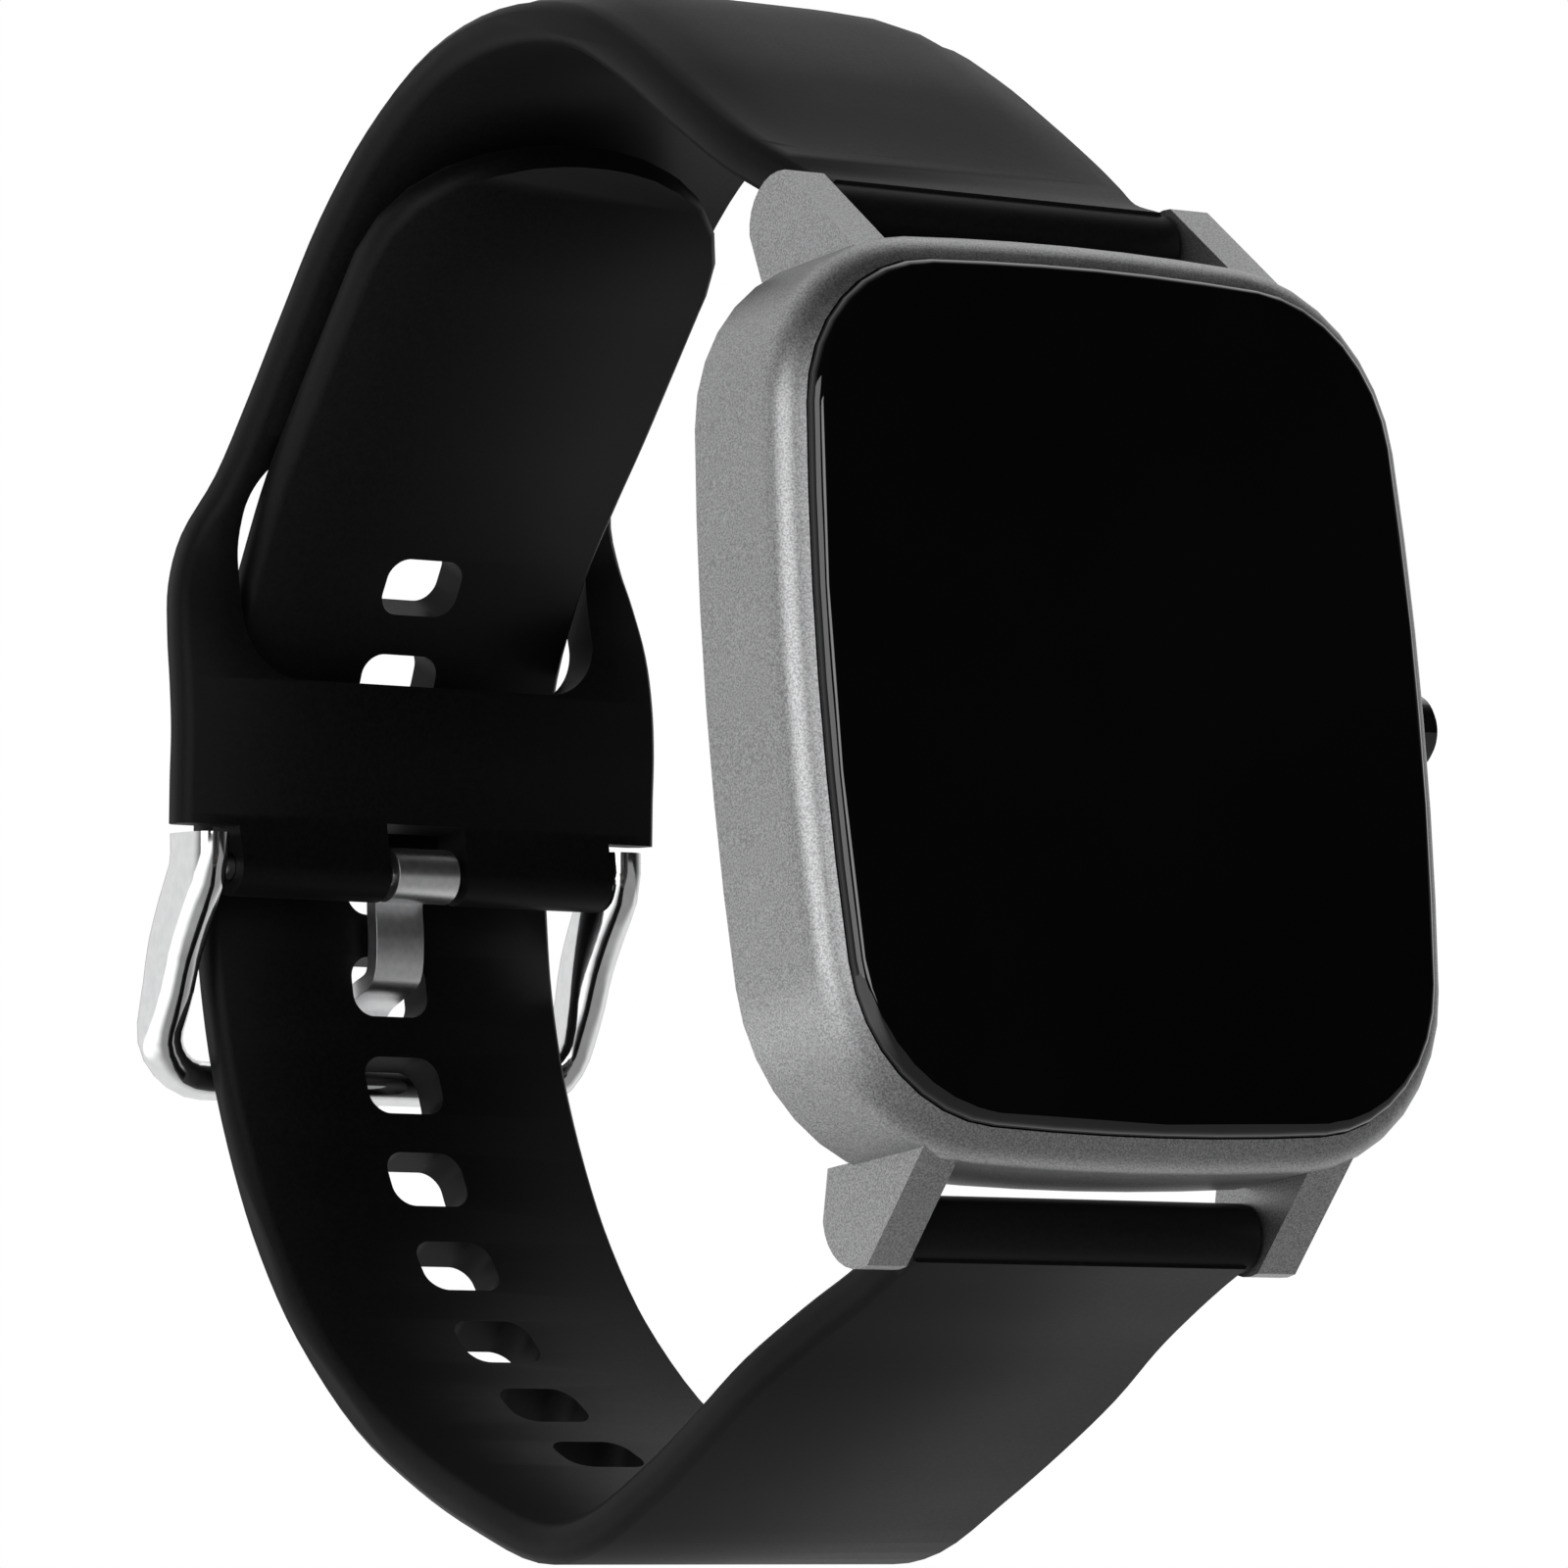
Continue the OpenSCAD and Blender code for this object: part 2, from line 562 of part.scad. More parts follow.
// The cross-section of a strap, with all four edges chamfered. Its outer face, on the left of the
// heading, rises by a crown towards the middle. The section can be moved to one side.
crown_steps = [[1.3, 0.15], [2.6, 0.6], [4.4, 0.9], [7, 1]];
function section(p, d, h, t, crown = 0, aside = 0) =
  let (lower = [[-h, -t / 2 + edge_cut], [-h + edge_cut, -t / 2]],
       upper = [for (s = crown_steps) [-h + s[0], -t / 2 - crown * s[1]]],
       half = concat([[-h, t / 2 - edge_cut]], lower, crown > 0 ? upper : []),
       n = len(half))
  [for (q = concat([[-h + edge_cut, t / 2]], half, [for (i = [n - 1:-1:0]) [-half[i][0], half[i][1]]],
      [[h - edge_cut, t / 2]]))
    [q[0] + aside, p[0] + d[1] * q[1], p[1] - d[0] * q[1]]];

module round_box(w, h, r) {
  square([w - 2 * r, h], center = true);
  square([w, h - 2 * r], center = true);
  for (x = [-1, 1]) for (y = [-1, 1]) translate([x * (w / 2 - r), y * (h / 2 - r)]) circle(r = r, $fn = 24);
}
// A prism through the strap at a place and heading, its outline drawn in X and along the strap
module through(at, depth) {
  translate([0, at[0], at[1]]) rotate([atan2(at[3], at[2]) - 90, 0, 0]) rotate([90, 0, 0])
    linear_extrude(depth, center = true) children();
}

pin_y = 47.1;
pin_z = 2.1;
end_knuckle_r = 1.4;
ring_half = shoulder - 0.75 - leg_w / 2;
end_half = ring_half - leg_w / 2 - 0.3;
notch_half = tongue_w / 2 + 0.5;
module short_strap() {
  c = curve(short_route, 4);
  color([0.05, 0.05, 0.05]) difference() {
    union() {
      skin([for (i = [0:len(c) - 1]) let (rise = min(1, max(0, (c[i][0] - 1) / 6)), fall = min(1, max(0, (c[i][1] - 24) / 6)))
        section(c[i], heading(c, i), c[i][2], strap_t, max(0.01, strap_crown * rise * (c[i][0] > 20 ? fall : 1)))]);
      rod(knuckle_r, -neck, neck, bar_y, bar_z);
      across(-end_half, end_half) polygon([
        [pin_y - strap_t / 2 - 0.1, pin_z + 3.6], [pin_y - end_knuckle_r, pin_z],
        [pin_y + end_knuckle_r, pin_z], [pin_y + strap_t / 2 - 0.1, pin_z + 3.6]]);
      rod(end_knuckle_r, -end_half, end_half, pin_y, pin_z);
    }
    rod(strap_bore_r, -neck - 1, neck + 1, bar_y, bar_z);
    rod(pin_r + run, -end_half - 1, end_half + 1, pin_y, pin_z);
    block(-notch_half, notch_half, -pin_y - 4, -pin_y + 4, pin_z - 3, pin_z + 2.3);
    slot_half = strap_w / 2 + slot_clear;
    translate([0, pin_y - 1, (slot_low + slot_high) / 2]) rotate([90, 0, 0])
      linear_extrude(14, center = true) round_box(2 * slot_half, slot_high - slot_low, 3);
  }
}

hole_z = -3.05;
holes_up = 4;
holes_down = 6;
function lean(at, end_s) = -tail_lean * pow(max(0, 1 - (end_s - at) / tail_lean_l), 1.5);
module long_strap() {
  c = curve(long_route, 4);
  lengths = run_to(c);
  end_s = lengths[len(c) - 1];
  round_s = end_s - tail_round;
  buckle_s = min([for (i = [0:len(c) - 2]) c[i][0] > route_reach && c[i][1] <= hole_z && c[i + 1][1] > hole_z
    ? lengths[i] + norm(c[i + 1] - c[i]) * (hole_z - c[i][1]) / (c[i + 1][1] - c[i][1]) : 1e9]);
  rings = concat(
    [for (i = [0:len(c) - 1]) if (lengths[i] < round_s - 0.3) 
      section(c[i], heading(c, i), c[i][2], strap_t, 0, lean(lengths[i], end_s))],
    [for (a = [0, 15, 30, 45, 58, 70, 79, 85]) let (at = round_s + tail_round * sin(a), q = along(c, lengths, at))
      section([q[0], q[1]], [q[2], q[3]], plain * pow(cos(a), 0.85), strap_t - tail_thin * sin(a), 0, lean(at, end_s))]);
  color([0.05, 0.05, 0.05]) difference() {
    union() {
      skin(rings);
      rod(knuckle_r, -neck, neck, bar_y, -bar_z);
    }
    rod(strap_bore_r, -neck - 1, neck + 1, bar_y, -bar_z);
    for (k = [-holes_down:holes_up]) through(along(c, lengths, buckle_s + k * hole_pitch), 3 * strap_t)
      round_box(hole_w, hole_l, 1.1);
  }
}

// ---- Buckle ----
bar_face_y = 50.45 + strap_t / 2 + 0.25;
ring_route = [[pin_y + 0.35, pin_z + 1.7], [pin_y + 0.65, pin_z], [pin_y + 1.95, pin_z - 1.75],
  [pin_y + 3.2, pin_z - 3.6], [pin_y + 4.0, pin_z - 5.4], [bar_face_y + ring_t / 2 - 0.45, pin_z - 7.5], [bar_face_y + ring_t / 2, -7.5]];
ring_corner = 2.6;
end_bar_h = 1.9;
leg_broad = 3.5;
leg_narrow = 2.5;
ring_round = 0.92;
// Points round a bar's section, w to each side and k to the front and back
function bar_section(w, k) = let (r = min(w, k) * ring_round)
  [for (c = [0:3], s = [0:3]) let (a = 90 * c + 30 * s, x = (c == 0 || c == 3) ? 1 : -1, y = c < 2 ? 1 : -1)
    [x * (w - r) + r * cos(a), y * (k - r) + r * sin(a)]];
module buckle_frame() {
  c = curve(ring_route, 6);
  lengths = run_to(c);
  total = lengths[len(c) - 1];
  // the frame's middle line, as [x, distance along the route], from one leg's top round to the other's
  leg = [for (i = [0:10]) [ring_half, (total - ring_corner) * i / 10]];
  corner = [for (i = [1:5]) let (a = 90 * i / 6)
    [ring_half - ring_corner * (1 - cos(a)), total - ring_corner * (1 - sin(a))]];
  half = concat(leg, corner, [[ring_half - ring_corner, total]]);
  path = concat(half, [for (i = [len(half) - 1:-1:0]) [-half[i][0], half[i][1]]]);
  rings = [for (i = [0:len(path) - 1])
    let (a = path[max(i - 1, 0)], b = path[min(i + 1, len(path) - 1)], d = (b - a) / norm(b - a),
         turn = min(1, max(0, abs(d[0]))), w = leg_w / 2 + turn * (end_bar_h - leg_w) / 2,
         down = min(1, path[i][1] / (total - ring_corner)),
         side = (leg_broad + (leg_narrow - leg_broad) * down * down) / 2,
         k = side + turn * (ring_t / 2 - side))
      [for (q = bar_section(w, k))
        let (x = path[i][0] - d[1] * q[0], s = path[i][1] + d[0] * q[0],
             o = along(c, lengths, max(0, min(s, total - 0.001))), over = max(0, s - total))
          [x, o[0] + o[2] * over - o[3] * q[1], o[1] + o[3] * over + o[2] * q[1]]]];
  color([0.8, 0.8, 0.82]) difference() {
    skin(rings);
    rod(pin_r, -ring_half - leg_w / 2 + 0.3, ring_half + leg_w / 2 - 0.3, pin_y, pin_z);
  }
}
module buckle_pin() {
  color([0.7, 0.7, 0.72]) rod(pin_r, -ring_half - leg_w / 2 + 0.3, ring_half + leg_w / 2 - 0.3, pin_y, pin_z);
}
loop_r = pin_r + run + 0.6;
tip_y = bar_face_y + ring_t + 0.15 + tongue_t / 2;
tongue_route = [[pin_y + 0.5, pin_z + 0.9], [pin_y + 1.35, pin_z + 0.35], [pin_y + 1.9, pin_z - 1.0],
  [pin_y + 2.0, pin_z - 2.9], [pin_y + 2.45, -2.5], [pin_y + 3.8, -3.0], [pin_y + 5.2, -3.5],
  [tip_y - 0.35, -4.8], [tip_y, -6.6], [tip_y, -8.4]];
module buckle_tongue() {
  c = curve(tongue_route, 4);
  n = len(c);
  side = [for (s = [1, -1]) [for (i = [0:n - 1]) let (d = heading(c, i), h = s * tongue_t / 2)
    [c[i][0] - d[1] * h, c[i][1] + d[0] * h]]];
  color([0.8, 0.8, 0.82]) difference() {
    union() {
      across(-shank_w / 2, shank_w / 2)
        polygon(concat(side[0], [for (i = [n - 1:-1:0]) side[1][i]]));
      rod(loop_r, -tongue_w / 2, tongue_w / 2, pin_y, pin_z);
    }
    rod(pin_r + run, -tongue_w, tongue_w, pin_y, pin_z);
  }
}

case_frame();
cover_glass();
glass_adhesive();
display_panel();
display_flex();
rear_cover();
rear_gasket();
rear_cover_screws();
sensor_window();
charging_contacts();
sensor_board();
sensor_chips();
inner_frame();
battery();
main_board();
board_chips();
board_shield();
vibration_motor();
antenna_strip();
button_switch();
switch_board();
button_seal();
side_button();
button_clip();
switch_plunger();
bar_tube(1);  // upper_bar_tube
bar_tip(1, -1);  // upper_bar_tip_left
bar_tip(1, 1);  // upper_bar_tip_right
bar_spring(1);  // upper_bar_spring
bar_tube(-1);  // lower_bar_tube
bar_tip(-1, -1);  // lower_bar_tip_left
bar_tip(-1, 1);  // lower_bar_tip_right
bar_spring(-1);  // lower_bar_spring
short_strap();
long_strap();
buckle_frame();
buckle_pin();
buckle_tongue();
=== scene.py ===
"""Wrist watch with a two-piece silicone strap: finishes, softened edges, stage and camera."""

import json
import math

import bpy
from mathutils import Matrix, Vector

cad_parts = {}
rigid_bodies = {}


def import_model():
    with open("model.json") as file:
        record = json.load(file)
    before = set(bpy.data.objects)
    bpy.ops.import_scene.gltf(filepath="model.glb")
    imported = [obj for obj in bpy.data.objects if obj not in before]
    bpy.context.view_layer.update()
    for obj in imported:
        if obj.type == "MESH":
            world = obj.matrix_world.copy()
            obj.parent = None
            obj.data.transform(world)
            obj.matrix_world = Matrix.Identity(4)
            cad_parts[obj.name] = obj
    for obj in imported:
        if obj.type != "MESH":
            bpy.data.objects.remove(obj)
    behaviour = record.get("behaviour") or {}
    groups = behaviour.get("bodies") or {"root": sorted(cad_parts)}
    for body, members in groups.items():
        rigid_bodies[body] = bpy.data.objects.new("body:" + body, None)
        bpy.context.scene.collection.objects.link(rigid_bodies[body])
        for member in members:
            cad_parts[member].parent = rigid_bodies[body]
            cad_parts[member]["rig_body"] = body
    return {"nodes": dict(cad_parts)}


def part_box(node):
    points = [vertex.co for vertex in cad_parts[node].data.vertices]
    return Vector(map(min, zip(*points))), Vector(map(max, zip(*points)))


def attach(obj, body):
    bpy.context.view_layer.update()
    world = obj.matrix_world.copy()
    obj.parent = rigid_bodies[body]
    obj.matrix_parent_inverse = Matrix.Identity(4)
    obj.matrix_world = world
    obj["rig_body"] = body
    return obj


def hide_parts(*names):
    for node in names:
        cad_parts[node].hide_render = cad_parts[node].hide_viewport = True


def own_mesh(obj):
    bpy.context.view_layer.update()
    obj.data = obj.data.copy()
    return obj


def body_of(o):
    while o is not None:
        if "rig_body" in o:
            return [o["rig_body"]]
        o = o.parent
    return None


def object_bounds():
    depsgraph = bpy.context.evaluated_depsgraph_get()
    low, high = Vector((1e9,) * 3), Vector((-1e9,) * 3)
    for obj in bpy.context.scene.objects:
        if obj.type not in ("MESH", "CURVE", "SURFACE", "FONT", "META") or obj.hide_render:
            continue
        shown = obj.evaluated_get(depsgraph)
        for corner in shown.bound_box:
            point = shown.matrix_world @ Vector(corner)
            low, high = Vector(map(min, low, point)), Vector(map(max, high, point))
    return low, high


bl_info = {
    "name": "Wrist Watch Finishing",
    "version": (1, 0, 0),
    "blender": (4, 5, 0),
    "location": "View3D > Sidebar > Watch",
    "description": "Finishes a wrist watch, its strap and its buckle, and sets its stage",
    "category": "Object",
}

for _spare in list(bpy.context.scene.objects):
    bpy.data.objects.remove(_spare, do_unlink=True)

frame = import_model()
CAD_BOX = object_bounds()

# Metres within which corners are merged, and the turn below which faces are.
WELD = 0.000002
FLAT_TURN = math.radians(0.4)
# How closely the shading follows the larger faces.
SHADING_WEIGHT = 60

# Degrees past which an edge is bevelled.
CASE_BEVEL_TURN = 40.0
TONGUE_BEVEL_TURN = 50.0
# Degrees past which an edge stays crisp, on pieces that have no setting for it.
GLASS_TURN = 50.0
BUTTON_TURN = 40.0
SPRING_TURN = 60.0

# Metres from front to back over which the floor's glow rises, and its level in front.
FLOOR_RISE = (-0.06, 0.06)
FLOOR_FRONT_GLOW = 0.26
# Metres towards the left over which the floor's glow rises, and its level there.
FLOOR_SIDE_RISE = (-0.02, -0.18)
FLOOR_SIDE_GLOW = 1.25
# How far back a direction points where the room starts and stops brightening.
ROOM_RISE = (-0.45, 0.55)

# The camera's sensor in millimetres, and the nearest and farthest it sees in metres.
SENSOR_WIDTH = 36.0
CLIP_NEAR = 0.01
CLIP_FAR = 20.0


# ---------------------------------------------------------------- small helpers


def only(*objs):
    """Select just these objects and make the first one active."""
    bpy.ops.object.select_all(action="DESELECT")
    for obj in objs:
        obj.select_set(True)
    bpy.context.view_layer.objects.active = objs[0]


def edit(obj):
    """Open an object's mesh for editing with all of it selected."""
    only(obj)
    bpy.ops.object.mode_set(mode="EDIT")
    bpy.ops.mesh.select_all(action="SELECT")


def leave_edit():
    """Go back to object mode."""
    bpy.ops.object.mode_set(mode="OBJECT")


def node_copy(node, name, merge_flats=True):
    """A merged copy of a CAD node's mesh, as a new object ready to be worked on."""
    piece = bpy.data.objects.new(name, frame["nodes"][node].data.copy())
    bpy.context.scene.collection.objects.link(piece)
    only(piece)
    if piece.data.has_custom_normals:
        bpy.ops.mesh.customdata_custom_splitnormals_clear()
    edit(piece)
    bpy.ops.mesh.remove_doubles(threshold=WELD)
    if merge_flats:
        bpy.ops.mesh.dissolve_limited(angle_limit=FLAT_TURN)
    leave_edit()
    return piece


def soften(piece, width, steps, turn):
    """Round the edges that turn more than `turn` degrees by `width` metres."""
    only(piece)
    bevel = piece.modifiers.new("soft_edges", "BEVEL")
    bevel.width = width
    bevel.segments = steps
    bevel.limit_method = "ANGLE"
    bevel.angle_limit = math.radians(turn)
    bevel.use_clamp_overlap = True
    bevel.miter_outer = "MITER_ARC"
    bpy.ops.object.modifier_apply(modifier=bevel.name)


def smooth(piece, turn, weigh=True):
    """Shade smoothly across turns below `turn` degrees, with large faces kept flat."""
    only(piece)
    bpy.ops.object.shade_smooth_by_angle(angle=math.radians(turn))
    if weigh:
        weighted = piece.modifiers.new("even_shading", "WEIGHTED_NORMAL")
        weighted.keep_sharp = True
        weighted.weight = SHADING_WEIGHT
        bpy.ops.object.modifier_apply(modifier=weighted.name)


def stand_for(piece, node, material):
    """Put a finished piece in a CAD node's place."""
    piece.data.materials.clear()
    piece.data.materials.append(material)
    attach(piece, body_of(frame["nodes"][node])[0])
    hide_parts(node)


def dress(node, material):
    """Give a CAD node that keeps its shape a new finish."""
    obj = frame["nodes"][node]
    for place in obj.material_slots:
        place.material = material


# ---------------------------------------------------------------- shared effects


def new_group(name, inputs, outputs):
    """An empty shader group with its sockets, and its input and output nodes."""
    tree = bpy.data.node_groups.new(name, "ShaderNodeTree")
    for label, kind, value in inputs:
        made = tree.interface.new_socket(name=label, in_out="INPUT", socket_type=kind)
        if value is not None:
            made.default_value = value
    for label, kind in outputs:
        tree.interface.new_socket(name=label, in_out="OUTPUT", socket_type=kind)
    return tree, tree.nodes.new("NodeGroupInput"), tree.nodes.new("NodeGroupOutput")


def rise(tree, span, low, high):
    """A smooth change from one level to another as a value crosses a span."""
    made = tree.nodes.new("ShaderNodeMapRange")
    made.interpolation_type = "SMOOTHSTEP"
    made.inputs["From Min"].default_value, made.inputs["From Max"].default_value = span
    made.inputs["To Min"].default_value = low
    made.inputs["To Max"].default_value = high
    return made


def grain_group():
    """Fine grain: a speckle from 0 to 1 and its height."""
    name = "Fine Grain"
    if name in bpy.data.node_groups:
        return bpy.data.node_groups[name]
    tree, enter, leave = new_group(
        name,
        [
            ("Vector", "NodeSocketVector", None),
            ("Scale", "NodeSocketFloat", 8000.0),
            ("Detail", "NodeSocketFloat", 2.0),
            ("Low", "NodeSocketFloat", 0.35),
            ("High", "NodeSocketFloat", 0.65),
        ],
        [("Value", "NodeSocketFloat"), ("Height", "NodeSocketFloat")],
    )
    noise = tree.nodes.new("ShaderNodeTexNoise")
    spread = tree.nodes.new("ShaderNodeMapRange")
    link = tree.links.new
    link(enter.outputs["Vector"], noise.inputs["Vector"])
    link(enter.outputs["Scale"], noise.inputs["Scale"])
    link(enter.outputs["Detail"], noise.inputs["Detail"])
    link(noise.outputs["Fac"], spread.inputs["Value"])
    link(enter.outputs["Low"], spread.inputs["From Min"])
    link(enter.outputs["High"], spread.inputs["From Max"])
    link(spread.outputs["Result"], leave.inputs["Value"])
    link(noise.outputs["Fac"], leave.inputs["Height"])
    return tree


def handling_group():
    """Handling marks: broad soft patches, as a mask."""
    name = "Handling Marks"
    if name in bpy.data.node_groups:
        return bpy.data.node_groups[name]
    tree, enter, leave = new_group(
        name,
        [
            ("Vector", "NodeSocketVector", None),
            ("Patch Scale", "NodeSocketFloat", 120.0),
            ("Amount", "NodeSocketFloat", 0.3),
        ],
        [("Patch", "NodeSocketFloat")],
    )
    link = tree.links.new
    patch = tree.nodes.new("ShaderNodeTexNoise")
    patch.inputs["Detail"].default_value = 4.0
    soft = rise(tree, (0.38, 0.7), 0.0, 1.0)
    amount = tree.nodes.new("ShaderNodeMath")
    amount.operation = "MULTIPLY"
    link(enter.outputs["Vector"], patch.inputs["Vector"])
    link(enter.outputs["Patch Scale"], patch.inputs["Scale"])
    link(patch.outputs["Fac"], soft.inputs["Value"])
    link(soft.outputs["Result"], amount.inputs[0])
    link(enter.outputs["Amount"], amount.inputs[1])
    link(amount.outputs["Value"], leave.inputs["Patch"])
    return tree


# ---------------------------------------------------------------- finishes

# Each finish: dark and light colour, roughness from and to, grain scale per metre and detail,
# bump strength and depth in metres, handling marks, then the shader's own even values.
FINISHES = {
    "case_metal": dict(
        dark=(0.24, 0.242, 0.246), light=(0.48, 0.482, 0.488), rough=(0.34, 0.46),
        grain=11000, detail=2, bump=0.30, depth=0.00002, marks=0.10, even={"Metallic": 1.0},
    ),
    "front_glass": dict(
        dark=(0.0012, 0.0012, 0.0014), light=(0.0022, 0.0022, 0.0026), rough=(0.02, 0.05),
        grain=60, detail=2, bump=0.0, depth=0.0, marks=0.06, even={"Coat Weight": 0.5},
    ),
    "adhesive": dict(
        dark=(0.01, 0.01, 0.01), light=(0.02, 0.02, 0.02), rough=(0.5, 0.7),
        grain=4000, detail=2, bump=0.1, depth=0.00001, marks=0.1, even={},
    ),
    "display": dict(
        dark=(0.004, 0.004, 0.006), light=(0.008, 0.008, 0.012), rough=(0.15, 0.25),
        grain=5000, detail=1, bump=0.02, depth=0.00001, marks=0.05, even={"Coat Weight": 0.3},
    ),
    "flex_film": dict(
        dark=(0.30, 0.12, 0.02), light=(0.42, 0.19, 0.04), rough=(0.3, 0.42),
        grain=1800, detail=3, bump=0.1, depth=0.00001, marks=0.1, even={},
    ),
    "rear_plastic": dict(
        dark=(0.020, 0.020, 0.021), light=(0.034, 0.034, 0.036), rough=(0.42, 0.56),
        grain=5200, detail=3, bump=0.35, depth=0.00002, marks=0.15, even={},
    ),
    "seal_rubber": dict(
        dark=(0.012, 0.012, 0.012), light=(0.022, 0.022, 0.022), rough=(0.6, 0.8),
        grain=5000, detail=3, bump=0.25, depth=0.00002, marks=0.2, even={},
    ),
    "screw_steel": dict(
        dark=(0.30, 0.30, 0.31), light=(0.52, 0.52, 0.53), rough=(0.22, 0.36),
        grain=6000, detail=2, bump=0.15, depth=0.00001, marks=0.1, even={"Metallic": 1.0},
    ),
    "window_plastic": dict(
        dark=(0.006, 0.006, 0.007), light=(0.012, 0.011, 0.012), rough=(0.03, 0.08),
        grain=400, detail=2, bump=0.0, depth=0.0, marks=0.1, even={"Coat Weight": 0.6},
    ),
    "contact_gold": dict(
        dark=(0.60, 0.40, 0.16), light=(0.83, 0.60, 0.28), rough=(0.18, 0.3),
        grain=7000, detail=2, bump=0.1, depth=0.00001, marks=0.1, even={"Metallic": 1.0},
    ),
    "board_green": dict(
        dark=(0.006, 0.045, 0.022), light=(0.012, 0.085, 0.040), rough=(0.32, 0.45),
        grain=2500, detail=4, bump=0.2, depth=0.00002, marks=0.15, even={"Coat Weight": 0.2},
    ),
    "chip_clear": dict(
        dark=(0.42, 0.42, 0.36), light=(0.62, 0.62, 0.54), rough=(0.12, 0.22),
        grain=3500, detail=2, bump=0.05, depth=0.00001, marks=0.1, even={"Coat Weight": 0.4},
    ),
    "inner_plastic": dict(
        dark=(0.05, 0.05, 0.052), light=(0.085, 0.085, 0.088), rough=(0.45, 0.6),
        grain=4200, detail=3, bump=0.3, depth=0.00002, marks=0.1, even={},
    ),
    "battery_can": dict(
        dark=(0.30, 0.31, 0.33), light=(0.46, 0.47, 0.49), rough=(0.32, 0.45),
        grain=900, detail=5, bump=0.2, depth=0.00003, marks=0.2, even={"Metallic": 1.0},
    ),
    "chip_black": dict(
        dark=(0.012, 0.012, 0.013), light=(0.026, 0.026, 0.027), rough=(0.4, 0.55),
        grain=9000, detail=3, bump=0.2, depth=0.00001, marks=0.1, even={},
    ),
    "shield_steel": dict(
        dark=(0.44, 0.44, 0.43), light=(0.64, 0.64, 0.63), rough=(0.28, 0.4),
        grain=3000, detail=3, bump=0.1, depth=0.00001, marks=0.15, even={"Metallic": 1.0},
    ),
    "motor_steel": dict(
        dark=(0.40, 0.40, 0.41), light=(0.58, 0.58, 0.59), rough=(0.22, 0.36),
        grain=2600, detail=3, bump=0.12, depth=0.00001, marks=0.15, even={"Metallic": 1.0},
    ),
    "button_gloss": dict(
        dark=(0.003, 0.003, 0.0035), light=(0.006, 0.006, 0.007), rough=(0.07, 0.13),
        grain=2500, detail=2, bump=0.02, depth=0.00001, marks=0.08, even={"Coat Weight": 0.8},
    ),
    "spring_steel": dict(
        dark=(0.34, 0.34, 0.35), light=(0.52, 0.52, 0.54), rough=(0.2, 0.34),
        grain=5000, detail=2, bump=0.1, depth=0.00001, marks=0.1, even={"Metallic": 1.0},
    ),
    "bar_steel": dict(
        dark=(0.46, 0.46, 0.47), light=(0.64, 0.64, 0.66), rough=(0.2, 0.32),
        grain=5000, detail=2, bump=0.1, depth=0.00001, marks=0.1, even={"Metallic": 1.0},
    ),
    "strap_silicone": dict(
        dark=(0.0018, 0.0018, 0.0019), light=(0.0042, 0.0042, 0.0044), rough=(0.44, 0.56),
        grain=5200, detail=3, bump=0.22, depth=0.00002, marks=0.12,
        even={"Sheen Weight": 0.01, "Sheen Roughness": 0.5, "Specular IOR Level": 0.13},
    ),
    "buckle_chrome": dict(
        dark=(0.86, 0.865, 0.875), light=(0.93, 0.935, 0.94), rough=(0.08, 0.13),
        grain=1500, detail=3, bump=0.012, depth=0.00001, marks=0.08, even={"Metallic": 1.0},
    ),
    "tongue_satin": dict(
        dark=(0.80, 0.805, 0.815), light=(0.90, 0.905, 0.915), rough=(0.30, 0.38),
        grain=3000, detail=3, bump=0.03, depth=0.00001, marks=0.08, even={"Metallic": 1.0},
    ),
    "pin_steel": dict(
        dark=(0.55, 0.555, 0.565), light=(0.75, 0.755, 0.765), rough=(0.16, 0.26),
        grain=4000, detail=3, bump=0.08, depth=0.00001, marks=0.08, even={"Metallic": 1.0},
    ),
    "floor_paper": dict(
        dark=(0.80, 0.80, 0.80), light=(0.84, 0.84, 0.84), rough=(0.75, 0.9),
        grain=900, detail=4, bump=0.05, depth=0.0001, marks=0.02, even={},
    ),
}


